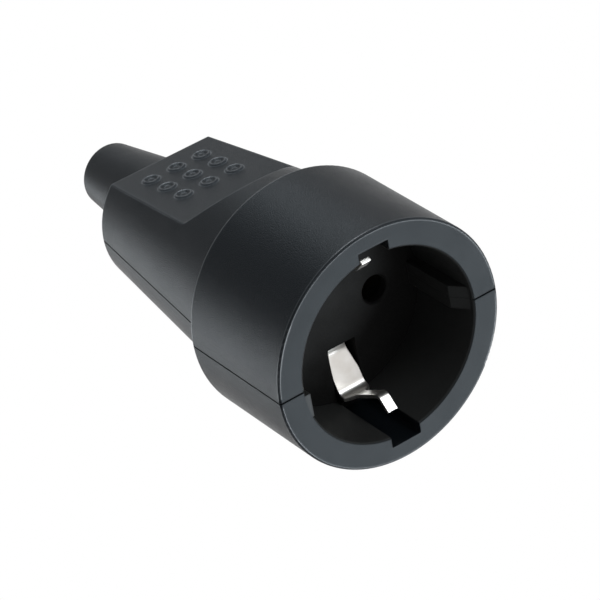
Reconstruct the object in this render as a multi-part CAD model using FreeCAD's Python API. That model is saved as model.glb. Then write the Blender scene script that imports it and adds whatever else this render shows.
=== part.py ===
import FreeCAD, Part
import math
import os

# An inline socket connector, standing on its mating face. The Z axis is the axis of the socket and
# points to the cable end. +Y is the side of the housing with the grip rings. Left is +X, as seen by
# someone who looks into the recess with the grip rings up. Lengths are in millimetres.

# Housing, outside
housing_length = 74.25
collar_radius = 25.0
collar_length = 28.8
collar_round = 0.4
neck_rear_radius = 0.64 * collar_radius
neck_taper_deg = 7.1
neck_root_round = 0.8
neck_end_round = 0.4
wall = 2.4
seam_width = 0.26
seam_depth = 0.35

# Grip flats, one on each shell
grip_depth = 5.05
grip_height_rear = neck_rear_radius - grip_depth
grip_front = collar_length + 0.352 * (housing_length - collar_length)
grip_length = housing_length - grip_front
grip_ramp_deg = 41.0
grip_corner_round = 2.0
grip_edge_round = 0.45
ring_rows = 3
ring_columns = 3
ring_pitch_x = 6.0
ring_pitch_z = 0.204 * grip_length
ring_first_z = grip_front + 0.374 * grip_length
ring_radius = 1.85
ring_height = 0.34
ring_hollow_radius = 1.25
ring_hollow_depth = 0.2

# Recess for the plug
rim_width = 5.5
recess_radius = collar_radius - rim_width
recess_depth = 17.5
recess_edge = 0.3
notch_width = 6.6
notch_reach = recess_radius + 2.0
rib_width = 5.0
rib_height = 2.3
rib_start = 1.0
rib_lead = 3.5
pad_inset = 1.0
pad_top = -0.9
pad_bottom = -5.9

# Contact carrier
carrier_radius = recess_radius + 1.8
carrier_thickness = 3.2
carrier_clearance = 0.1
floor_thickness = 2.0
lip_radius = recess_radius + 0.5
lip_thickness = 1.9
key_width = 1.6
key_depth = 1.1
pin_spacing = 19.0
pin_hole_radius = 2.8
pin_hole_chamfer = 0.4
chamber_radius = 3.9
chamber_wall = 0.9
shelf_half_width = pin_spacing / 2 + 3.8
shelf_thickness = 2.5
shelf_drop = 3.2
barrier_x = 4.6
barrier_thickness = 1.2
barrier_top = 6.5

# Earth bracket, one folded strip
strip_thickness = 0.8
strip_width = 3.9
strip_base_width = 6.0
strip_tip_width = 2.1
strip_slot_inner = recess_radius - 11.9
strip_slot_outer = recess_radius + 0.7
strip_slot_clearance = 0.2
strip_groove_clearance = 0.2
strip_crest = (recess_radius - 5.75, 5.9)
strip_tip = (recess_radius - 3.15, 3.35)
strip_base = (recess_radius - 0.9, recess_depth - 1.3)
strip_widening = (recess_radius - 10.3, recess_radius - 5.0)
strip_upper_lift = 0.9
strip_tongue_length = 1.7
strip_leg_y = recess_radius - 9.1
strip_crest_bend = 1.3
strip_base_bend = 2.3
strip_slope_bend = 3.0
strip_run_bend = 1.2
earth_pad_width = 7.0

# Line contacts
sleeve_inner_radius = 2.45
sleeve_thickness = 0.6
sleeve_mouth_length = 1.6
sleeve_mouth_flare = 0.7
sleeve_slot_width = 1.2
tab_width = 7.2
tab_thickness = 1.0
tab_neck_width = 4.2
spring_clearance = 0.04
spring_thickness = 0.5
spring_length = 4.0
spring_gap = 2.4

# Terminal screws and clamp plates
terminal_shank_radius = 1.75
terminal_head_radius = 3.1
terminal_head_height = 2.2
terminal_screw_reach = 4.6
thread_clearance = 0.02
clamp_size = 6.8
clamp_thickness = 1.0
clamp_hole_clearance = 0.15
shelf_hole_radius = 2.1

# Housing screws
screw_radius = 1.5
screw_head_radius = 2.5
screw_head_height = 2.1
screw_hole_clearance = 0.2
screw_head_clearance = 0.15
screw_tip = 1.2
boss_radius = 2.6
boss_foot_radius = 4.0
boss_foot_top = -7.0
front_screw_x = recess_radius - 2.4
front_screw_seat = 9.0
rear_screw_seat = 8.4
screw_hold = 8.0
screw_slot_width = 0.8
screw_slot_depth = 1.0

# Cable clamp
bar_width = 5.6
bar_height = 6.0
bar_round = 1.2
bar_tooth = 0.5
cable_radius = 3.9
cable_screw_x = 0.5125 * neck_rear_radius
bar_length = 2 * (cable_screw_x + 3.0)
cable_screw_hold = 5.5
saddle_thickness = 2.4

# Bend sleeve and its seat
partition_start = housing_length - 9.25
partition_thickness = 1.8
pocket_length = 3.5
flange_radius = neck_rear_radius - 4.6
flange_flat = flange_radius - 1.8
partition_hole_radius = flange_radius - 5.4
flange_clearance = 0.12
flange_gap = 0.1
sleeve_root_radius = flange_radius - 2.1
sleeve_tip_radius = 0.71 * sleeve_root_radius
sleeve_tail_length = 22.6
sleeve_tail_droop_deg = 2.8
sleeve_tip_round = 1.0
sleeve_bore_radius = 4.1

# Worked out from the sizes above
taper = math.tan(math.radians(neck_taper_deg))
pin_x = pin_spacing / 2
floor_back = recess_depth + floor_thickness
disc_back = recess_depth + carrier_thickness
groove_back = disc_back + carrier_clearance
lip_back = groove_back + lip_thickness
shelf_top = -shelf_drop
front_screw_z = lip_back + 2.2
pocket_start = partition_start + partition_thickness
pocket_end = pocket_start + pocket_length

# Places along the inside, from the recess floor to the partition
terminal_length = clamp_size + 2.7
free_length = partition_start - floor_back - terminal_length
chamber_end = floor_back + 0.5 * free_length
shelf_end = chamber_end + terminal_length
terminal_z = chamber_end + clamp_size / 2 + 0.6
rear_screw_z = shelf_end + 0.222 * (partition_start - shelf_end)
bar_z = shelf_end + 0.75 * (partition_start - shelf_end)
sleeve_start = floor_back + 5.5
sleeve_end = chamber_end - 1.0
sleeve_slot_end = sleeve_end - 3.5
spring_start = sleeve_start + 3.0
tab_neck_start = sleeve_end - 1.9
tab_start = chamber_end + 0.3
tab_end = shelf_end - 0.5
strip_end = shelf_end - 0.4

X_AXIS = FreeCAD.Vector(1, 0, 0)
Y_AXIS = FreeCAD.Vector(0, 1, 0)
Z_AXIS = FreeCAD.Vector(0, 0, 1)
ORIGIN = FreeCAD.Vector(0, 0, 0)
FAR = 100.0


def point(x, y, z):
    return FreeCAD.Vector(x, y, z)


def block(x, y, z):
    """A box between three pairs of limits."""
    corner = point(x[0], y[0], z[0])
    return Part.makeBox(x[1] - x[0], y[1] - y[0], z[1] - z[0], corner)


def rod_z(radius, z, x=0.0, y=0.0):
    return Part.makeCylinder(radius, z[1] - z[0], point(x, y, z[0]), Z_AXIS)


def rod_y(radius, y, x, z):
    return Part.makeCylinder(radius, y[1] - y[0], point(x, y[0], z), Y_AXIS)


def turned(outline):
    """Revolves a closed outline of (radius, height) points about Z."""
    corners = [point(r, 0, z) for r, z in outline]
    face = Part.Face(Part.makePolygon(corners + corners[:1]))
    return face.revolve(ORIGIN, Z_AXIS, 360)


def across_x(outline, width):
    """Extrudes a closed outline of (y, z) points along X, centred."""
    corners = [point(-width / 2, y, z) for y, z in outline]
    return Part.Face(Part.makePolygon(corners + corners[:1])).extrude(X_AXIS * width)


def along_y(outline, y):
    """Extrudes a closed outline of (x, z) points along Y between two limits."""
    corners = [point(x, y[0], z) for x, z in outline]
    return Part.Face(Part.makePolygon(corners + corners[:1])).extrude(Y_AXIS * (y[1] - y[0]))


def joined(shapes):
    first, rest = shapes[0], shapes[1:]
    return first.fuse(rest).removeSplitter()


def mirrored(shape):
    """The same shape on the other side of the plane X = 0."""
    return shape.mirror(ORIGIN, X_AXIS)


def edges_where(shape, test):
    return [edge for edge in shape.Edges if test(edge)]


def is_circle(radius, z):
    """A test for the whole or part circles of one radius round the Z axis at one height."""
    def test(edge):
        if not isinstance(edge.Curve, Part.Circle):
            return False
        same_size = abs(edge.Curve.Radius - radius) < 1e-4
        return same_size and abs(edge.Curve.Center.z - z) < 1e-4
    return test


# Housing

def neck_radius(z):
    return neck_rear_radius + (housing_length - z) * taper


def grip_height(z):
    return grip_height_rear + (housing_length - z) * taper


def grip_cutter(side, inset):
    """What is cut away over one grip flat, moved towards the axis by the inset on both its faces."""
    flat, ramp = math.radians(neck_taper_deg), math.radians(grip_ramp_deg)
    shift_y = inset * (math.sin(ramp) - math.sin(flat)) / math.sin(ramp - flat)
    shift_z = inset * (math.cos(flat) - math.cos(ramp)) / math.sin(ramp - flat)
    rear = housing_length + collar_radius
    front_y = grip_height(grip_front)
    top = collar_radius + wall
    top_z = grip_front - (top - front_y) / math.tan(ramp)
    outline = [(grip_height(rear), rear), (front_y, grip_front), (top, top_z), (top, rear)]
    cutter = across_x(outline, 4 * collar_radius)
    corner = edges_where(cutter, lambda e: all(
        abs(v.Y - front_y) < 1e-6 and abs(v.Z - grip_front) < 1e-6 for v in e.Vertexes))
    cutter = cutter.makeFillet(grip_corner_round, corner)
    cutter.translate(point(0, -shift_y, -shift_z))
    return cutter if side > 0 else cutter.mirror(ORIGIN, Y_AXIS)


def plain_form(inset):
    """The collar and the tapered neck with both grip flats, made smaller all round by the inset."""
    neck_inset = inset / math.cos(math.radians(neck_taper_deg))
    shoulder = collar_length - inset
    rear = housing_length - inset
    form = turned([
        (0, inset),
        (collar_radius - inset, inset),
        (collar_radius - inset, shoulder),
        (neck_radius(shoulder) - neck_inset, shoulder),
        (neck_radius(rear) - neck_inset, rear),
        (0, rear),
    ])
    for side in (1, -1):
        form = form.cut(grip_cutter(side, inset))
    return form


def is_grip_crest(edge):
    """A test for the curved edge where a grip ramp comes out of the tapered neck. A round on it runs on
    along both sides of the flat, because the edges there are tangent."""
    if not isinstance(edge.Curve, Part.Ellipse):
        return False
    ends = [v.Point for v in edge.Vertexes]
    return all(abs(math.hypot(p.x, p.y) - neck_radius(p.z)) < 1e-3 for p in ends)


def outer_form():
    """The outside of the housing with its edges rounded."""
    form = plain_form(0)
    collar = edges_where(form, lambda e: is_circle(collar_radius, 0)(e)
                         or is_circle(collar_radius, collar_length)(e))
    form = form.makeFillet(collar_round, collar)
    root = edges_where(form, is_circle(neck_radius(collar_length), collar_length))
    form = form.makeFillet(neck_root_round, root)
    form = form.makeFillet(grip_edge_round, edges_where(form, is_grip_crest))
    rear = edges_where(form, lambda e: all(abs(v.Z - housing_length) < 1e-4 for v in e.Vertexes))
    return form.makeFillet(neck_end_round, rear)


def grip_ring():
    """A low round ring with a hollow middle, standing on the plane Z = 0."""
    lip = (ring_radius + ring_hollow_radius) / 2
    foot = -4 * ring_height
    outside = Part.Arc(point(ring_radius, 0, 0), point((ring_radius + lip) / 2, 0, 0.8 * ring_height),
                       point(lip, 0, ring_height)).toShape()
    inside = Part.Arc(point(lip, 0, ring_height), point(ring_hollow_radius / 2, 0, 0),
                      point(0, 0, -ring_hollow_depth)).toShape()
    axis = Part.LineSegment(point(0, 0, -ring_hollow_depth), point(0, 0, foot)).toShape()
    bottom = Part.LineSegment(point(0, 0, foot), point(ring_radius, 0, foot)).toShape()
    flank = Part.LineSegment(point(ring_radius, 0, foot), point(ring_radius, 0, 0)).toShape()
    face = Part.Face(Part.Wire([outside, inside, axis, bottom, flank]))
    return face.revolve(ORIGIN, Z_AXIS, 360)


def grip_rings():
    """The rings on the upper flat, in rows along the neck."""
    rings = []
    for row in range(ring_rows):
        for column in range(ring_columns):
            z = ring_first_z + row * ring_pitch_z
            x = (column - (ring_columns - 1) / 2) * ring_pitch_x
            ring = grip_ring()
            ring.rotate(ORIGIN, X_AXIS, -90 + neck_taper_deg)
            ring.translate(point(x, grip_height(z), z))
            rings.append(ring)
    return rings


def recess():
    """The round recess with its two notches and its chamfered mouth."""
    edge = recess_radius + recess_edge
    mouth = Part.makeCone(edge, recess_radius, recess_edge, ORIGIN, Z_AXIS)
    notch = block((-notch_width / 2, notch_width / 2), (-notch_reach, notch_reach), (0, recess_depth))
    return joined([rod_z(recess_radius, (0, recess_depth)), mouth, notch])


def guide_ribs():
    """A rib on each side of the recess, and the flat pad beside the left one."""
    root = recess_radius + 1
    face = recess_radius - rib_height
    outline = [(root, rib_start), (recess_radius, rib_start), (face, rib_start + rib_lead),
               (face, recess_depth), (root, recess_depth)]
    rib = along_y(outline, (-rib_width / 2, rib_width / 2))
    pad = block((recess_radius - pad_inset, root), (pad_bottom, pad_top), (0, recess_depth))
    return [rib, mirrored(rib), pad]


def inside_room():
    """Everything that is hollow behind the recess."""
    seat = rod_z(carrier_radius + carrier_clearance, (recess_depth, groove_back))
    lip = rod_z(lip_radius, (groove_back, lip_back))
    main = plain_form(wall).common(rod_z(lip_radius, (lip_back, partition_start)))
    cable_way = rod_z(partition_hole_radius, (partition_start, pocket_start))
    pocket = rod_z(flange_radius + flange_clearance, (pocket_start, pocket_end))
    flat = flange_flat + flange_clearance
    pocket = pocket.common(block((-FAR, FAR), (-flat, flat), (0, FAR)))
    outlet = rod_z(sleeve_root_radius + flange_clearance, (pocket_end, housing_length))
    return [seat, lip, main, cable_way, pocket, outlet]


def screw_places():
    """The (x, z, seat) of each housing screw; the seat is how far the head lies below the seam."""
    return {
        "left": (front_screw_x, front_screw_z, front_screw_seat),
        "right": (-front_screw_x, front_screw_z, front_screw_seat),
        "rear": (0, rear_screw_z, rear_screw_seat),
    }


def housing():
    """Both shells as one, before they are parted on the plane Y = 0."""
    form = outer_form()
    body = form.cut([recess()] + inside_room())
    bosses = []
    for x, z, _ in screw_places().values():
        bosses.append(rod_y(boss_radius, (-FAR, FAR), x, z).common(form))
        bosses.append(rod_y(boss_foot_radius, (-FAR, boss_foot_top), x, z).common(form))
    web = block((-collar_radius, collar_radius), (-screw_hold, screw_hold),
                (front_screw_z - wall / 2, front_screw_z + wall / 2))
    web = web.cut(rod_z(front_screw_x, (0, FAR))).common(plain_form(wall))
    body = joined([body, web] + bosses + guide_ribs())
    seam = form.cut(plain_form(seam_depth))
    seam = seam.common(block((-FAR, FAR), (-seam_width / 2, seam_width / 2), (-1, FAR)))
    return body.cut(seam)


def upper_shell():
    shell = housing().common(block((-FAR, FAR), (0, FAR), (-FAR, FAR)))
    holes = [rod_y(screw_radius + thread_clearance, (0, screw_hold + 1), x, z)
             for x, z, _ in screw_places().values()]
    return joined([shell] + grip_rings()).cut(holes)


def cable_saddle():
    """The web under the cable and the two posts for the clamp screws, up to the seam."""
    web = block((-cable_screw_x, cable_screw_x), (-FAR, 0),
                (bar_z - saddle_thickness / 2, bar_z + saddle_thickness / 2))
    web = web.cut(rod_z(cable_radius, (0, FAR)))
    posts = [rod_y(boss_radius, (-FAR, 0), side * cable_screw_x, bar_z) for side in (1, -1)]
    return joined([web] + posts).common(outer_form())


def lower_shell():
    shell = housing().common(block((-FAR, FAR), (-FAR, 0), (-FAR, FAR)))
    key = block((recess_radius, carrier_radius + 1), (-key_width, 0), (recess_depth, groove_back))
    key = key.cut(rod_z(carrier_radius - key_depth, (0, FAR)))
    shell = joined([shell, cable_saddle(), key])
    holes = []
    for x, z, seat in screw_places().values():
        holes.append(rod_y(screw_radius + screw_hole_clearance, (-seat, 1), x, z))
        holes.append(rod_y(screw_head_radius + screw_head_clearance, (-FAR, -seat), x, z))
    for side in (1, -1):
        holes.append(rod_y(screw_radius + thread_clearance, (-cable_screw_hold - 1, 1),
                           side * cable_screw_x, bar_z))
    return shell.cut(holes)


# Contact carrier

def contact_carrier():
    """The disc behind the recess, with a chamber for each line contact and a shelf for the terminals."""
    disc = rod_z(carrier_radius, (recess_depth, disc_back))
    chambers = [rod_z(chamber_radius + chamber_wall, (floor_back, chamber_end), side * pin_x)
                for side in (1, -1)]
    shelf = block((-shelf_half_width, shelf_half_width), (shelf_top - shelf_thickness, shelf_top),
                  (floor_back, shelf_end))
    barriers = [block((side * barrier_x - barrier_thickness / 2, side * barrier_x + barrier_thickness / 2),
                      (shelf_top, barrier_top), (chamber_end, shelf_end)) for side in (1, -1)]
    body = joined([disc, shelf] + chambers + barriers)
    cuts = []
    for side in (1, -1):
        x = side * pin_x
        cuts.append(rod_z(chamber_radius, (floor_back, chamber_end), x))
        cuts.append(rod_z(pin_hole_radius, (recess_depth, floor_back), x))
        cuts.append(Part.makeCone(pin_hole_radius + pin_hole_chamfer, pin_hole_radius, pin_hole_chamfer,
                                  point(x, 0, recess_depth), Z_AXIS))
        cuts.append(rod_y(shelf_hole_radius, (-FAR, 0), x, terminal_z))
    half_slot = strip_base_width / 2 + strip_slot_clearance
    for limits in ((strip_slot_inner, strip_slot_outer), (-strip_slot_outer, -strip_slot_inner)):
        cuts.append(block((-half_slot, half_slot), limits, (recess_depth, disc_back)))
    groove_top = floor_back + strip_thickness / 2 + strip_run_bend + strip_groove_clearance
    cuts.append(block((-half_slot, half_slot), (-strip_slot_outer, strip_slot_outer),
                      (floor_back, groove_top)))
    cuts.append(block((carrier_radius - key_depth - carrier_clearance, FAR),
                      (-key_width - carrier_clearance, carrier_clearance), (0, disc_back)))
    return body.cut(cuts)


# Earth bracket

def unit(a, b):
    step = b.sub(a)
    step.normalize()
    return step


def strip_side(path, bends, offset):
    """The edges along one side of a folded strip: straight runs, with an arc at each bend."""
    edges = []
    start = path[0] + X_AXIS.cross(unit(path[0], path[1])) * offset
    for before, corner, after, bend in zip(path, path[1:], path[2:], bends):
        into, out = unit(before, corner), unit(corner, after)
        normal_in, normal_out = X_AXIS.cross(into), X_AXIS.cross(out)
        reach = bend * math.tan(math.acos(into.dot(out)) / 2)
        side = 1 if X_AXIS.dot(into.cross(out)) > 0 else -1
        centre = corner - into * reach + normal_in * (side * bend)
        arc_start = corner - into * reach + normal_in * offset
        arc_middle = centre + unit(ORIGIN, normal_in + normal_out) * (offset - side * bend)
        arc_end = corner + out * reach + normal_out * offset
        if arc_start.sub(start).Length > 1e-6:
            edges.append(Part.LineSegment(start, arc_start).toShape())
        edges.append(Part.Arc(arc_start, arc_middle, arc_end).toShape())
        start = arc_end
    end = path[-1] + X_AXIS.cross(unit(path[-2], path[-1])) * offset
    edges.append(Part.LineSegment(start, end).toShape())
    return edges


def bracket_arm(lift):
    """The middle line of one arm, from the tip of its clip to the terminal; the lift opens the clip."""
    run_y = -shelf_top - strip_thickness / 2
    leg_z = floor_back + strip_thickness / 2
    tip_y, tip_z = strip_tip
    crest_y, crest_z = strip_crest
    return [(tip_y + lift, tip_z), (crest_y + lift, crest_z), strip_base, (strip_leg_y, leg_z),
            (run_y, leg_z), (run_y, strip_end - strip_thickness / 2)]


def earth_bracket():
    """A strip folded like a hairpin: both earth clips, with the terminal on the fold between them."""
    half = strip_thickness / 2
    fold_bend = -shelf_top - half
    arm_bends = [strip_crest_bend, strip_base_bend, strip_slope_bend, strip_run_bend, fold_bend]
    path = [point(0, y, z) for y, z in bracket_arm(strip_upper_lift)]
    path += [point(0, -y, z) for y, z in reversed(bracket_arm(0))]
    bends = arm_bends + arm_bends[::-1]
    one, other = (strip_side(path, bends, offset) for offset in (half, -half))
    ends = [Part.LineSegment(side_a, side_b).toShape() for side_a, side_b in (
        (one[0].Vertexes[0].Point, other[0].Vertexes[0].Point),
        (one[-1].Vertexes[-1].Point, other[-1].Vertexes[-1].Point))]
    outline = Part.Wire(Part.sortEdges(one + other + ends)[0])
    strip = Part.Face(outline).extrude(X_AXIS * earth_pad_width)
    strip.translate(X_AXIS * (-earth_pad_width / 2))
    narrow, base, tip = strip_width / 2, strip_base_width / 2, strip_tip_width / 2
    widening_start, widening_end = strip_widening
    leg_end = strip_base[1] - strip_base_bend / 2
    behind = []
    for side in (1, -1):
        corners = [(-narrow, 0), (-narrow, widening_start), (-base, widening_end), (-base, FAR),
                   (base, FAR), (base, widening_end), (narrow, widening_start), (narrow, 0)]
        wire = Part.makePolygon([point(x, side * y, leg_end) for x, y in corners + corners[:1]])
        behind.append(Part.Face(wire).extrude(Z_AXIS * (strip_end + 1 - leg_end)))
    tongue_end = leg_end - strip_tongue_length
    clip = along_y([(-base, leg_end), (-tip, tongue_end), (-tip, 0), (tip, 0), (tip, tongue_end),
                    (base, leg_end)], (-FAR, FAR))
    pad = block((-earth_pad_width / 2, earth_pad_width / 2), (-FAR, FAR),
                (terminal_z - clamp_size / 2 - clamp_thickness, strip_end + 1))
    strip = strip.common(joined(behind + [clip, pad]))
    hole = rod_y(terminal_shank_radius + thread_clearance, (0, FAR), 0, terminal_z)
    return strip.cut(hole).removeSplitter()


# Line contacts and terminals

def line_contact(x):
    """A slotted sleeve for the pin, with a flat tab behind it for the terminal."""
    outer = sleeve_inner_radius + sleeve_thickness
    mouth_end = sleeve_start + sleeve_mouth_length
    sleeve = turned([
        (sleeve_inner_radius + sleeve_mouth_flare, sleeve_start),
        (outer + sleeve_mouth_flare, sleeve_start),
        (outer, mouth_end),
        (outer, sleeve_end),
        (sleeve_inner_radius, sleeve_end),
        (sleeve_inner_radius, mouth_end),
    ])
    sleeve = sleeve.cut(block((-FAR, FAR), (-sleeve_slot_width / 2, sleeve_slot_width / 2),
                              (0, sleeve_slot_end)))
    sheet = (shelf_top, shelf_top + tab_thickness)
    tab = block((-tab_width / 2, tab_width / 2), sheet, (tab_start, tab_end))
    neck = block((-tab_neck_width / 2, tab_neck_width / 2), sheet, (tab_neck_start, tab_end))
    neck = neck.cut(rod_z(sleeve_inner_radius, (0, sleeve_end)))
    contact = joined([sleeve, neck, tab])
    contact = contact.cut(rod_y(terminal_shank_radius + thread_clearance, (-FAR, FAR), 0, terminal_z))
    contact.translate(point(x, 0, 0))
    return contact


def contact_spring(x):
    """A split ring of spring steel round the leaves of a line contact."""
    inner = sleeve_inner_radius + sleeve_thickness + spring_clearance
    limits = (spring_start, spring_start + spring_length)
    ring = rod_z(inner + spring_thickness, limits).cut(rod_z(inner, limits))
    ring = ring.cut(block((-spring_gap / 2, spring_gap / 2), (0, FAR), (0, FAR)))
    ring.translate(point(x, 0, 0))
    return ring


def clamp_plate(x, under):
    """A square plate under a screw head, with its upper edges rounded."""
    half = clamp_size / 2
    plate = block((-half, half), (under, under + clamp_thickness), (terminal_z - half, terminal_z + half))
    upper = edges_where(plate, lambda e: all(v.Y > under + clamp_thickness / 2 for v in e.Vertexes))
    plate = plate.makeFillet(clamp_thickness / 2, upper)
    plate = plate.cut(rod_y(terminal_shank_radius + clamp_hole_clearance, (-FAR, FAR), 0, terminal_z))
    plate.translate(point(x, 0, 0))
    return plate


def screw(shank_radius, head_radius, head_height, length):
    """A screw with its point at the bottom; the underside of the head lies on the plane Z = 0."""
    crown = head_height * 0.45
    head = turned([(0, 0), (head_radius, 0), (head_radius, head_height - crown),
                   (head_radius * 0.62, head_height), (0, head_height)])
    shank = turned([(0, head_height / 2), (shank_radius, head_height / 2),
                    (shank_radius, screw_tip - length), (shank_radius * 0.3, -length), (0, -length)])
    across = [block((-head_radius, head_radius), (-screw_slot_width / 2, screw_slot_width / 2),
                    (head_height - screw_slot_depth, head_height + 1))]
    return joined([head, shank]).cut(across)


def screw_down(shape, x, y, z):
    """Turns a screw so that its head points to +Y and sets its seat at a place."""
    turned_shape = shape.copy()
    turned_shape.rotate(ORIGIN, X_AXIS, -90)
    turned_shape.translate(point(x, y, z))
    return turned_shape


def screw_up(shape, x, y, z):
    """Turns a screw so that its head points to -Y and sets its seat at a place."""
    turned_shape = shape.copy()
    turned_shape.rotate(ORIGIN, X_AXIS, 90)
    turned_shape.translate(point(x, y, z))
    return turned_shape


def terminal_screw(x, seat):
    shape = screw(terminal_shank_radius, terminal_head_radius, terminal_head_height, terminal_screw_reach)
    return screw_down(shape, x, seat, terminal_z)


# Cable clamp

def cable_bar():
    """The bar over the cable, arched under its middle, with a tooth that bites the sheath."""
    outline = [(0, bar_z - bar_width / 2), (bar_height, bar_z - bar_width / 2),
               (bar_height, bar_z + bar_width / 2), (0, bar_z + bar_width / 2)]
    bar = across_x(outline, bar_length)
    top = edges_where(bar, lambda e: all(v.Y > bar_height / 2 for v in e.Vertexes))
    bar = bar.makeFillet(bar_round, top)
    arch = rod_z(cable_radius, (0, FAR))
    tooth = rod_z(cable_radius + bar_tooth, (bar_z - bar_width / 2 + 1, bar_z - bar_tooth))
    tooth = tooth.fuse(rod_z(cable_radius + bar_tooth, (bar_z + bar_tooth, bar_z + bar_width / 2 - 1)))
    holes = [rod_y(screw_radius + screw_hole_clearance, (-1, FAR), side * cable_screw_x, bar_z)
             for side in (1, -1)]
    return bar.cut([arch, tooth] + holes)


# Bend sleeve

def ring_wire(radius, turn, centre):
    """A circle of a radius, turned about X and set at a centre."""
    wire = Part.Wire(Part.makeCircle(radius))
    wire.rotate(ORIGIN, X_AXIS, turn)
    wire.translate(centre)
    return wire


def bend_sleeve():
    """The rubber sleeve: a flange held in the housing, and a tapered tail that droops a little."""
    flange = rod_z(flange_radius, (pocket_start + flange_gap, pocket_end - flange_gap))
    flange = flange.common(block((-FAR, FAR), (-flange_flat, flange_flat), (0, FAR)))
    neck = rod_z(sleeve_root_radius, (pocket_start + flange_gap, housing_length))
    droop = math.radians(sleeve_tail_droop_deg)
    along = point(0, -math.sin(droop), math.cos(droop))
    root = point(0, 0, housing_length)
    tip = root.add(along * sleeve_tail_length)
    tail = Part.makeLoft([ring_wire(sleeve_root_radius, 0, root),
                          ring_wire(sleeve_tip_radius, sleeve_tail_droop_deg, tip)], True, True)
    end = edges_where(tail, lambda e: len(e.Vertexes) == 1
                      and e.Vertexes[0].Point.sub(tip).Length < sleeve_tip_radius + 1e-3)
    tail = tail.makeFillet(sleeve_tip_round, end)
    bore = Part.makeCylinder(sleeve_bore_radius, 2 * sleeve_tail_length, ORIGIN, along, 360)
    bore = bore.fuse(Part.makeCylinder(sleeve_bore_radius, 2 * sleeve_tail_length, ORIGIN, along * -1, 360))
    bore.translate(root)
    return joined([flange, neck, tail]).cut(bore.removeSplitter())


def pieces():
    """Every node by name."""
    tab_top = shelf_top + tab_thickness
    run_top = -shelf_top
    made = {
        "upper_shell": upper_shell(),
        "lower_shell": lower_shell(),
        "contact_carrier": contact_carrier(),
        "earth_bracket": earth_bracket(),
        "earth_clamp": clamp_plate(0, run_top),
        "earth_screw": terminal_screw(0, run_top + clamp_thickness),
        "cable_bar": cable_bar(),
        "bend_sleeve": bend_sleeve(),
    }
    cable_screw = screw(screw_radius, screw_head_radius, screw_head_height, bar_height + cable_screw_hold)
    for name, side in (("left", 1), ("right", -1)):
        x = side * pin_x
        made["line_contact_" + name] = line_contact(x)
        made["contact_spring_" + name] = contact_spring(x)
        made["line_clamp_" + name] = clamp_plate(x, tab_top)
        made["line_screw_" + name] = terminal_screw(x, tab_top + clamp_thickness)
        made["cable_screw_" + name] = screw_down(cable_screw, side * cable_screw_x, bar_height, bar_z)
    for name, (x, z, seat) in screw_places().items():
        long_screw = screw(screw_radius, screw_head_radius, screw_head_height, seat + screw_hold)
        made["housing_screw_" + name] = screw_up(long_screw, x, -seat, z)
    return made


def main():
    os.makedirs("parts", exist_ok=True)
    for name, shape in pieces().items():
        solids = shape.Solids
        shape = solids[0] if len(solids) == 1 else shape
        shape.exportStep(os.path.join("parts", name + ".step"))
        print(name, "solids", len(solids), "volume", round(shape.Volume, 1), "valid", shape.isValid())


main()
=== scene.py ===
import bpy
import bmesh
from mathutils import Matrix, Vector

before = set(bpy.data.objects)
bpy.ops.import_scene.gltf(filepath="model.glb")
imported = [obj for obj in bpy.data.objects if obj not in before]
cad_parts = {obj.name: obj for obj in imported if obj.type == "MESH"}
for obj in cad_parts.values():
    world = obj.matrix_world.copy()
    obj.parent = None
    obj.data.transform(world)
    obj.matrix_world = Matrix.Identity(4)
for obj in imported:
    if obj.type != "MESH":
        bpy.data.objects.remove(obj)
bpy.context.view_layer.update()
scene = bpy.context.scene
print("frame loaded,", len(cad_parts), "nodes")


# Nodes, for every shader below

def addNode(tree, kind, place, **values):
    node = tree.nodes.new(kind)
    node.location = place
    for name, value in values.items():
        setattr(node, name, value)
    return node


def multiply(tree, place, first, second):
    node = addNode(tree, "ShaderNodeMath", place, operation="MULTIPLY")
    tree.links.new(first, node.inputs[0])
    tree.links.new(second, node.inputs[1])
    return node.outputs[0]


def stepValue(tree, place, value, start, end):
    # 0 at the start and 1 at the end, whichever of them is larger
    node = addNode(tree, "ShaderNodeMapRange", place)
    node.inputs["From Min"].default_value = start
    node.inputs["From Max"].default_value = end
    tree.links.new(value, node.inputs["Value"])
    return node.outputs["Result"]


def mapValue(tree, place, value, low, high):
    # 0 becomes low and 1 becomes high
    node = addNode(tree, "ShaderNodeMapRange", place)
    node.inputs["To Min"].default_value = low
    node.inputs["To Max"].default_value = high
    tree.links.new(value, node.inputs["Value"])
    return node.outputs["Result"]


def blendColours(tree, place, mask, low, high):
    # low is a colour, or the output of another node
    mix = addNode(tree, "ShaderNodeMix", place, data_type="RGBA")
    if isinstance(low, tuple):
        mix.inputs["A"].default_value = (*low, 1)
    else:
        tree.links.new(low, mix.inputs["A"])
    mix.inputs["B"].default_value = (*high, 1)
    tree.links.new(mask, mix.inputs["Factor"])
    return mix.outputs["Result"]


# Camera and stage

cameraSettings = {
    "place": (0.27023, 0.34384, -0.44534),  # metres, in front of the recess and above the grip side
    "target": (0.00962, 0.00940, 0.01277),
    "up": (-0.42492, 0.82904, 0.36350),  # the direction that is up in the photograph
    "lens": 204,
    "sensor": 36,
    "clip": (0.01, 20),
}


def addCamera(settings):
    data = bpy.data.cameras.new("photoCamera")
    data.lens = settings["lens"]
    data.sensor_width = settings["sensor"]
    data.clip_start, data.clip_end = settings["clip"]
    camera = bpy.data.objects.new("photoCamera", data)
    scene.collection.objects.link(camera)
    place = Vector(settings["place"])
    back = (place - Vector(settings["target"])).normalized()
    right = Vector(settings["up"]).cross(back).normalized()
    up = back.cross(right)
    turn = Matrix((right, up, back)).transposed()
    camera.matrix_world = Matrix.Translation(place) @ turn.to_4x4()
    scene.camera = camera


floorSettings = {
    "radius": 3.0, "drop": 0.0003, "segments": 64,
    "colour": (0.86, 0.86, 0.86, 1), "roughness": 0.9,
}


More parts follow.
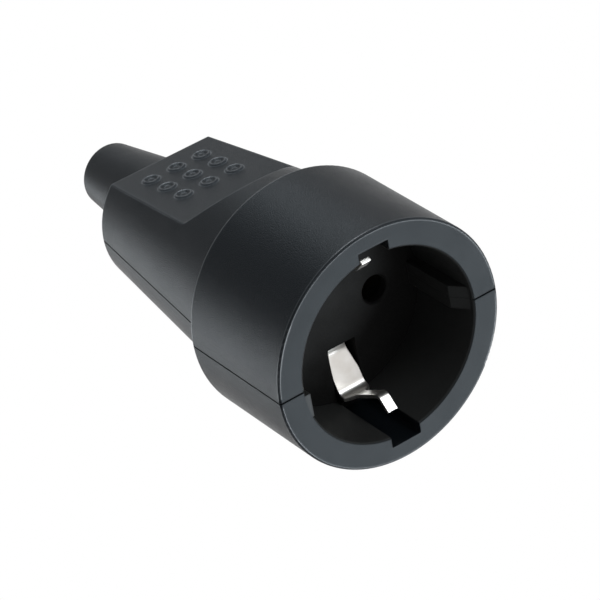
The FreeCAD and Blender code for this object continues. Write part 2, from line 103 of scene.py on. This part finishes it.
def paintFloor(settings):
    # clear from below, so that a view from there shows the face that the part stands on
    material = bpy.data.materials.new("floorPaper")
    material.use_nodes = True
    tree = material.node_tree
    shader = tree.nodes["Principled BSDF"]
    shader.inputs["Base Color"].default_value = settings["colour"]
    shader.inputs["Roughness"].default_value = settings["roughness"]
    clear = addNode(tree, "ShaderNodeBsdfTransparent", (0, -300))
    side = addNode(tree, "ShaderNodeNewGeometry", (0, 300))
    mix = addNode(tree, "ShaderNodeMixShader", (300, 0))
    tree.links.new(side.outputs["Backfacing"], mix.inputs["Fac"])
    tree.links.new(shader.outputs["BSDF"], mix.inputs[1])
    tree.links.new(clear.outputs["BSDF"], mix.inputs[2])
    tree.links.new(mix.outputs["Shader"], tree.nodes["Material Output"].inputs["Surface"])
    return material


def addFloor(settings):
    # it shows the part's shadow, but neither shades nor lights the part
    mesh = bpy.data.meshes.new("floor")
    bm = bmesh.new()
    bmesh.ops.create_circle(bm, cap_ends=True, segments=settings["segments"], radius=settings["radius"])
    bmesh.ops.translate(bm, verts=bm.verts, vec=(0, 0, -settings["drop"]))
    bm.to_mesh(mesh)
    bm.free()
    mesh.materials.append(paintFloor(settings))
    floor = bpy.data.objects.new("floor", mesh)
    scene.collection.objects.link(floor)
    floor.visible_shadow = False
    floor.visible_diffuse = False
    floor.visible_glossy = False
    floor.visible_transmission = False


worldSettings = {"background": (1, 1, 1, 1), "ambient": (0.33, 0.34, 0.36, 1)}


def addWorld(settings):
    # white where the camera, a reflection or a view through glass sees it, and a soft grey light otherwise
    world = bpy.data.worlds.new("studio")
    world.use_nodes = True
    tree = world.node_tree
    tree.nodes.clear()
    path = addNode(tree, "ShaderNodeLightPath", (-900, 0))
    clear = addNode(tree, "ShaderNodeMath", (-600, -200), operation="MAXIMUM")
    tree.links.new(path.outputs["Is Glossy Ray"], clear.inputs[0])
    tree.links.new(path.outputs["Is Transmission Ray"], clear.inputs[1])
    shown = addNode(tree, "ShaderNodeMath", (-300, -200), operation="MAXIMUM")
    tree.links.new(path.outputs["Is Camera Ray"], shown.inputs[0])
    tree.links.new(clear.outputs[0], shown.inputs[1])
    seen = addNode(tree, "ShaderNodeBackground", (-300, 200))
    seen.inputs["Color"].default_value = settings["background"]
    light = addNode(tree, "ShaderNodeBackground", (-300, 0))
    light.inputs["Color"].default_value = settings["ambient"]
    mix = addNode(tree, "ShaderNodeMixShader", (0, 0))
    output = addNode(tree, "ShaderNodeOutputWorld", (300, 0))
    tree.links.new(shown.outputs[0], mix.inputs["Fac"])
    tree.links.new(light.outputs["Background"], mix.inputs[1])
    tree.links.new(seen.outputs["Background"], mix.inputs[2])
    tree.links.new(mix.outputs["Shader"], output.inputs["Surface"])
    scene.world = world


lampSettings = {
    "aim": (0, 0, 0.045),  # about the middle of the part
    "distance": 1.0,
    "colour": (0.89, 0.955, 1),
    "lamps": {
        # the way to each lamp from the aim (x, y, z), its size in metres and its power in watts
        "beforeFace": {"way": (-0.418, -0.536, -0.735), "size": 0.5, "power": 12},
        "overCamera": {"way": (-0.381, 0.744, -0.546), "size": 0.4, "power": 3},
        "lowBehind": {"way": (0.563, -0.381, 0.734), "size": 0.45, "power": 6},
        "highBehind": {"way": (-0.22, 0.80, 0.50), "size": 0.5, "power": 11},
    },
}


def addLamps(settings):
    for name, values in settings["lamps"].items():
        data = bpy.data.lights.new(name, "AREA")
        data.shape = "SQUARE"
        data.size = values["size"]
        data.energy = values["power"]
        data.color = settings["colour"]
        lamp = bpy.data.objects.new(name, data)
        scene.collection.objects.link(lamp)
        way = Vector(values["way"]).normalized()
        lamp.location = Vector(settings["aim"]) + way * settings["distance"]
        lamp.rotation_euler = way.to_track_quat("Z", "Y").to_euler()


addCamera(cameraSettings)
addFloor(floorSettings)
addWorld(worldSettings)
addLamps(lampSettings)
scene.view_settings.view_transform = "Standard"
print("camera, floor and lamps placed")


# Effects that several finishes share

def newGroup(name, inputs, outputs):
    group = bpy.data.node_groups.new(name, "ShaderNodeTree")
    for label, kind, value in inputs:
        socket = group.interface.new_socket(name=label, in_out="INPUT", socket_type=kind)
        socket.default_value = value
    for label, kind in outputs:
        group.interface.new_socket(name=label, in_out="OUTPUT", socket_type=kind)
    start = addNode(group, "NodeGroupInput", (-1000, 0))
    end = addNode(group, "NodeGroupOutput", (800, 0))
    return group, start, end


grainSettings = {
    "fineDetail": 3.0, "patchDetail": 2.0, "roughness": 0.6,
    "spread": (0.3, 0.7),  # the noise values that become 0 and 1 in a tone
}


def addNoise(group, vector, size, detail, roughness, row):
    # size is an output in millimetres, and row is the height in the node editor
    scale = addNode(group, "ShaderNodeMath", (-700, row), operation="DIVIDE")
    scale.inputs[0].default_value = 1000  # millimetres in a metre
    group.links.new(size, scale.inputs[1])
    noise = addNode(group, "ShaderNodeTexNoise", (-450, row))
    noise.inputs["Detail"].default_value = detail
    noise.inputs["Roughness"].default_value = roughness
    group.links.new(vector, noise.inputs["Vector"])
    group.links.new(scale.outputs[0], noise.inputs["Scale"])
    return noise.outputs["Fac"]


def buildGrain(settings):
    # fine grain as a height for a bump and as a tone, and broad patches
    group, start, end = newGroup(
        "mouldedGrain",
        [("Size mm", "NodeSocketFloat", 0.2), ("Patch mm", "NodeSocketFloat", 9.0)],
        [("Height", "NodeSocketFloat"), ("Tone", "NodeSocketFloat"), ("Patch", "NodeSocketFloat")])
    vector = addNode(group, "ShaderNodeTexCoord", (-1000, 300)).outputs["Object"]
    size, patch = start.outputs["Size mm"], start.outputs["Patch mm"]
    fine = addNoise(group, vector, size, settings["fineDetail"], settings["roughness"], 200)
    broad = addNoise(group, vector, patch, settings["patchDetail"], settings["roughness"], -300)
    group.links.new(fine, end.inputs["Height"])
    group.links.new(stepValue(group, (0, 0), fine, *settings["spread"]), end.inputs["Tone"])
    group.links.new(stepValue(group, (0, -300), broad, *settings["spread"]), end.inputs["Patch"])
    return group


edgeSettings = {"normalSamples": 6, "maskSamples": 8}


def buildEdge(settings):
    # a rounded normal, and a mask of the edges: how far a wider rounded normal turns from the real one
    group, start, end = newGroup(
        "edgeWearAndHighlight",
        [("Radius m", "NodeSocketFloat", 0.0004), ("Wear and highlight m", "NodeSocketFloat", 0.0004),
         ("Reach", "NodeSocketFloat", 0.25)],
        [("Mask", "NodeSocketFloat"), ("Normal", "NodeSocketVector")])
    geometry = addNode(group, "ShaderNodeNewGeometry", (-700, 300))
    narrow = addNode(group, "ShaderNodeBevel", (-700, 0), samples=settings["normalSamples"])
    group.links.new(start.outputs["Radius m"], narrow.inputs["Radius"])
    wide = addNode(group, "ShaderNodeBevel", (-700, -200), samples=settings["maskSamples"])
    group.links.new(start.outputs["Wear and highlight m"], wide.inputs["Radius"])
    dot = addNode(group, "ShaderNodeVectorMath", (-400, 200), operation="DOT_PRODUCT")
    group.links.new(geometry.outputs["Normal"], dot.inputs[0])
    group.links.new(wide.outputs["Normal"], dot.inputs[1])
    turned = addNode(group, "ShaderNodeMath", (-150, 200), operation="SUBTRACT")
    turned.inputs[0].default_value = 1
    group.links.new(dot.outputs["Value"], turned.inputs[1])
    mask = addNode(group, "ShaderNodeMapRange", (150, 200))
    group.links.new(turned.outputs[0], mask.inputs["Value"])
    group.links.new(start.outputs["Reach"], mask.inputs["From Max"])
    group.links.new(mask.outputs["Result"], end.inputs["Mask"])
    group.links.new(narrow.outputs["Normal"], end.inputs["Normal"])
    return group


def addGroup(tree, group, place, values):
    node = addNode(tree, "ShaderNodeGroup", place)
    node.node_tree = group
    for label, value in values.items():
        node.inputs[label].default_value = value
    return node


grainGroup = buildGrain(grainSettings)
edgeGroup = buildEdge(edgeSettings)


# Black plastics and rubber

housingSettings = {
    "dark": (0.0036, 0.0048, 0.006), "pale": (0.0056, 0.0072, 0.009), "edge": (0.05, 0.055, 0.06),
    "roughness": (0.3, 0.35), "specular": 0.055, "tint": (0.85, 0.94, 1),
    # the grain's sizes in millimetres, its strength, and its share on faces that look along the axis
    "grainSize": 0.22, "patchSize": 9.0, "bump": 0.42, "endGrain": 0.3,
    # how far edges are rounded, and how far they are rubbed and painted paler as a highlight, in metres,
    # and the polish on edges of the neck and the collar
    "edgeRadius": 0.0003, "wearAndHighlightRadius": 0.0006, "wearAndHighlightReach": 0.02,
    "polish": (0.15, 0.45), "coatRoughness": 0.22,
    # wear and the painted edge highlight start past this radius or height and are full one step on, and
    # they fade out at the parting plane
    "wearAndHighlightFrom": (0.0215, 0.0285), "wearAndHighlightStep": 0.002, "seam": (0.0006, 0.0012),
    # the colour painted on the recess walls as light reaching into the recess, and how far from the axis
    # and from the front face it lies, in metres
    "paintedRecessLight": (0.026, 0.026, 0.0248), "paintedLightRadius": 0.0195, "paintedLightDepth": 0.0182, "paintedLightFade": 0.0004,
}
lightWearAndHighlight = {
    # wear and a painted highlight on every edge, without polish
    "wearAndHighlightReach": 0.2, "wearAndHighlightFrom": (0, 0), "wearAndHighlightStep": 0.002, "seam": (0.0006, 0.0012),
    "polish": (0, 0), "coatRoughness": 0.22, "endGrain": 1,
}
carrierSettings = {
    **lightWearAndHighlight,
    "dark": (0.0075, 0.0074, 0.0072), "pale": (0.0115, 0.0113, 0.0108), "edge": (0.016, 0.016, 0.017),
    "roughness": (0.6, 0.7), "specular": 0.08, "tint": (1, 1, 1),
    "grainSize": 0.3, "patchSize": 7.0, "bump": 0.2, "edgeRadius": 0.0002, "wearAndHighlightRadius": 0.0002,
}
clampSettings = {
    **lightWearAndHighlight,
    "dark": (0.007, 0.007, 0.0073), "pale": (0.01, 0.01, 0.0105), "edge": (0.02, 0.02, 0.021),
    "roughness": (0.45, 0.55), "specular": 0.15, "tint": (1, 1, 1),
    "grainSize": 0.3, "patchSize": 5.0, "bump": 0.2, "edgeRadius": 0.0003, "wearAndHighlightRadius": 0.0003,
}
sleeveSettings = {
    **lightWearAndHighlight,
    "dark": (0.0036, 0.0046, 0.0056), "pale": (0.0058, 0.007, 0.0084), "edge": (0.016, 0.017, 0.018),
    "roughness": (0.34, 0.4), "specular": 0.06, "tint": (0.85, 0.94, 1),
    "grainSize": 0.25, "patchSize": 6.0, "bump": 0.3, "edgeRadius": 0.0003, "wearAndHighlightRadius": 0.0003,
}


def newMaterial(name):
    material = bpy.data.materials.new(name)
    material.use_nodes = True
    return material, material.node_tree, material.node_tree.nodes["Principled BSDF"]


def addBump(tree, shader, edge, height, strength, distance):
    bump = addNode(tree, "ShaderNodeBump", (-300, -300))
    bump.inputs["Strength"].default_value = strength
    bump.inputs["Distance"].default_value = distance
    tree.links.new(height, bump.inputs["Height"])
    tree.links.new(edge.outputs["Normal"], bump.inputs["Normal"])
    tree.links.new(bump.outputs["Normal"], shader.inputs["Normal"])


def splitVector(tree, place, vector):
    node = addNode(tree, "ShaderNodeSeparateXYZ", place)
    tree.links.new(vector, node.inputs["Vector"])
    return node


def findRadius(tree, place):
    # distance from the axis of the socket
    flat = addNode(tree, "ShaderNodeVectorMath", (-1500, 700), operation="MULTIPLY")
    flat.inputs[1].default_value = (1, 1, 0)
    tree.links.new(place.outputs["Object"], flat.inputs[0])
    radius = addNode(tree, "ShaderNodeVectorMath", (-1300, 700), operation="LENGTH")
    tree.links.new(flat.outputs["Vector"], radius.inputs[0])
    return radius.outputs["Value"]


def outsideMasks(tree, radius, parts, settings):
    # where hands rub and where edges are painted paler as a highlight: past a radius or a height, away from
    # the parting plane. The second mask is the collar
    width = settings["wearAndHighlightStep"]
    fromRadius, fromHeight = settings["wearAndHighlightFrom"]
    collar = stepValue(tree, (-1050, 700), radius, fromRadius, fromRadius + width)
    neck = stepValue(tree, (-1050, 500), parts.outputs["Z"], fromHeight, fromHeight + width)
    either = addNode(tree, "ShaderNodeMath", (-800, 600), operation="MAXIMUM")
    tree.links.new(collar, either.inputs[0])
    tree.links.new(neck, either.inputs[1])
    side = addNode(tree, "ShaderNodeMath", (-1050, 300), operation="ABSOLUTE")
    tree.links.new(parts.outputs["Y"], side.inputs[0])
    offSeam = stepValue(tree, (-800, 300), side.outputs[0], *settings["seam"])
    return multiply(tree, (-600, 600), either.outputs[0], offSeam), collar


def paintedLightMask(tree, radius, parts, settings):
    # the walls of the recess, painted paler as light reaching into it
    edge, depth, fade = settings["paintedLightRadius"], settings["paintedLightDepth"], settings["paintedLightFade"]
    inside = stepValue(tree, (-1050, 1100), radius, edge + fade, edge)
    before = stepValue(tree, (-1050, 900), parts.outputs["Z"], depth + fade, depth)
    return multiply(tree, (-800, 1000), inside, before)


def grainHeight(tree, place, grain, settings):
    # shallower on faces that look along the axis
    parts = splitVector(tree, (-1100, -700), place.outputs["Normal"])
    along = addNode(tree, "ShaderNodeMath", (-900, -700), operation="ABSOLUTE")
    tree.links.new(parts.outputs["Z"], along.inputs[0])
    share = mapValue(tree, (-700, -700), along.outputs[0], 1, settings["endGrain"])
    return multiply(tree, (-500, -500), grain.outputs["Height"], share)


def mouldedPlastic(name, settings):
    # black, grained and a little uneven, with edges that are paler, partly as rubbing wear and partly as a
    # painted highlight, and on the housing polished; the housing's recess walls are painted paler as light
    # reaching into the recess
    material, tree, shader = newMaterial(name)
    shader.inputs["Specular IOR Level"].default_value = settings["specular"]
    shader.inputs["Specular Tint"].default_value = (*settings["tint"], 1)
    shader.inputs["Coat Roughness"].default_value = settings["coatRoughness"]
    grain = addGroup(tree, grainGroup, (-900, 0), {
        "Size mm": settings["grainSize"], "Patch mm": settings["patchSize"]})
    edge = addGroup(tree, edgeGroup, (-900, -400), {
        "Radius m": settings["edgeRadius"],
        "Wear and highlight m": settings["wearAndHighlightRadius"],
        "Reach": settings["wearAndHighlightReach"]})
    place = addNode(tree, "ShaderNodeTexCoord", (-1700, 0))
    radius = findRadius(tree, place)
    parts = splitVector(tree, (-1300, 500), place.outputs["Object"])
    outside, collar = outsideMasks(tree, radius, parts, settings)
    wearAndHighlight = multiply(tree, (-500, 500), edge.outputs["Mask"], outside)
    colour = blendColours(tree, (-500, 300), grain.outputs["Tone"], settings["dark"], settings["pale"])
    # edges painted paler: partly rubbing wear, partly a painted highlight
    colour = blendColours(tree, (-300, 300), wearAndHighlight, colour, settings["edge"])
    # the recess walls painted paler: painted light reaching into the recess
    if "paintedRecessLight" in settings:
        paintedLight = paintedLightMask(tree, radius, parts, settings)
        colour = blendColours(tree, (-100, 500), paintedLight, colour, settings["paintedRecessLight"])
    tree.links.new(colour, shader.inputs["Base Color"])
    polish = mapValue(tree, (-500, 700), collar, *settings["polish"])
    tree.links.new(multiply(tree, (-300, 500), wearAndHighlight, polish), shader.inputs["Coat Weight"])
    roughness = mapValue(tree, (-500, 0), grain.outputs["Patch"], *settings["roughness"])
    tree.links.new(roughness, shader.inputs["Roughness"])
    height = grainHeight(tree, place, grain, settings)
    addBump(tree, shader, edge, height, settings["bump"], settings["grainSize"] / 1000)
    return material


housingPlastic = mouldedPlastic("housingPlastic", housingSettings)
carrierPlastic = mouldedPlastic("carrierPlastic", carrierSettings)
clampPlastic = mouldedPlastic("clampPlastic", clampSettings)
sleeveRubber = mouldedPlastic("sleeveRubber", sleeveSettings)
print("plastics and rubber made")


# Metals

metalSettings = {
    "grainSize": 0.4, "patchSize": 3.0, "edgeRadius": 0.0002, "edgeReach": 0.3,
    "lineDetail": 3, "bump": 0.15, "bumpDepth": 0.00005,
}
stripSettings = {
    **metalSettings,
    "dark": (0.7, 0.67, 0.63), "pale": (0.8, 0.78, 0.75), "edge": (0.85, 0.83, 0.8),
    "roughness": (0.28, 0.4), "lines": (9000, 500, 500),  # lumps in a metre along x, y and z
}
zincSettings = {
    **metalSettings,
    "dark": (0.52, 0.53, 0.54), "pale": (0.66, 0.66, 0.66), "edge": (0.78, 0.78, 0.78),
    "roughness": (0.3, 0.45), "lines": (3000, 3000, 3000),
}
brassSettings = {
    **metalSettings,
    "dark": (0.62, 0.45, 0.2), "pale": (0.74, 0.56, 0.28), "edge": (0.83, 0.68, 0.4),
    "roughness": (0.25, 0.4), "lines": (5000, 5000, 600),
}


def platedMetal(name, settings):
    # drawn or rolled metal: fine lines along the strip, duller patches, and edges painted paler, partly as
    # wear and partly as a painted highlight
    material, tree, shader = newMaterial(name)
    shader.inputs["Metallic"].default_value = 1
    place = addNode(tree, "ShaderNodeTexCoord", (-1300, 0))
    stretch = addNode(tree, "ShaderNodeMapping", (-1100, 0))
    stretch.inputs["Scale"].default_value = settings["lines"]
    tree.links.new(place.outputs["Object"], stretch.inputs["Vector"])
    lines = addNode(tree, "ShaderNodeTexNoise", (-900, 0))
    lines.inputs["Scale"].default_value = 1
    lines.inputs["Detail"].default_value = settings["lineDetail"]
    tree.links.new(stretch.outputs["Vector"], lines.inputs["Vector"])
    grain = addGroup(tree, grainGroup, (-900, -300), {
        "Size mm": settings["grainSize"], "Patch mm": settings["patchSize"]})
    edge = addGroup(tree, edgeGroup, (-900, -600), {
        "Radius m": settings["edgeRadius"],
        "Wear and highlight m": settings["edgeRadius"],
        "Reach": settings["edgeReach"]})
    colour = blendColours(tree, (-500, 300), grain.outputs["Patch"], settings["dark"], settings["pale"])
    # edges painted paler: partly wear, partly a painted highlight
    colour = blendColours(tree, (-300, 300), edge.outputs["Mask"], colour, settings["edge"])
    tree.links.new(colour, shader.inputs["Base Color"])
    roughness = mapValue(tree, (-500, 0), lines.outputs["Fac"], *settings["roughness"])
    tree.links.new(roughness, shader.inputs["Roughness"])
    addBump(tree, shader, edge, lines.outputs["Fac"], settings["bump"], settings["bumpDepth"])
    return material


nickelStrip = platedMetal("nickelStrip", stripSettings)
zincSteel = platedMetal("zincSteel", zincSettings)
contactBrass = platedMetal("contactBrass", brassSettings)
print("metals made")


# Finishes on the pieces. The screws, springs and clamps that aren't listed are zinc-plated

finishes = {
    "upper_shell": housingPlastic,
    "lower_shell": housingPlastic,
    "contact_carrier": carrierPlastic,
    "cable_bar": clampPlastic,
    "bend_sleeve": sleeveRubber,
    "earth_bracket": nickelStrip,
    "line_contact_left": contactBrass,
    "line_contact_right": contactBrass,
}
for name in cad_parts:
    mesh = bpy.data.objects[name].data
    finish = finishes.get(name, zincSteel)
    for slot in range(len(mesh.materials)):
        mesh.materials[slot] = finish
print("finishes assigned")
